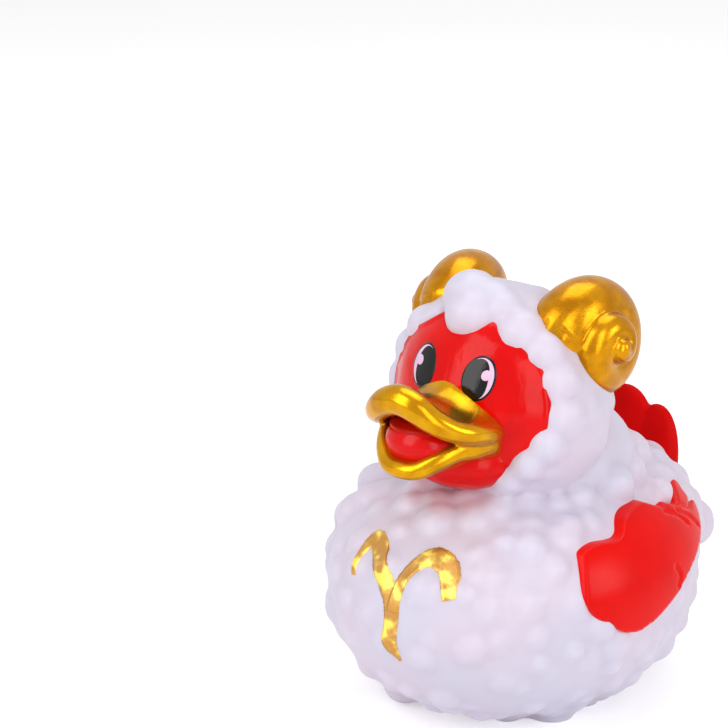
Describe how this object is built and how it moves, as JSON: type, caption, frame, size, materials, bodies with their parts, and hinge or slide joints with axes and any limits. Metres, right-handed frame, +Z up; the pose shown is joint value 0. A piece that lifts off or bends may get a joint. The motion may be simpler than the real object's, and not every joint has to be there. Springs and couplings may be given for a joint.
{
  "type": "rubber duck",
  "caption": "Hollow soft vinyl bath duck dressed as a ram, with a woolly coat, coiled horns, an open beak, wings, a fanned tail and a flat foot.",
  "frame": {"origin": "middle of the duck's footprint box, on the flat foot that it stands on", "axes": "+Z up out of the foot, -Y the way the beak points, +X the duck's left side"},
  "size_m": [0.069, 0.0815, 0.0851],
  "materials": {
    "vinyl": "soft satin white vinyl with painted and printed colours"
  },
  "bodies": {
    "root": {"duck": "vinyl"}
  },
  "joints": []
}
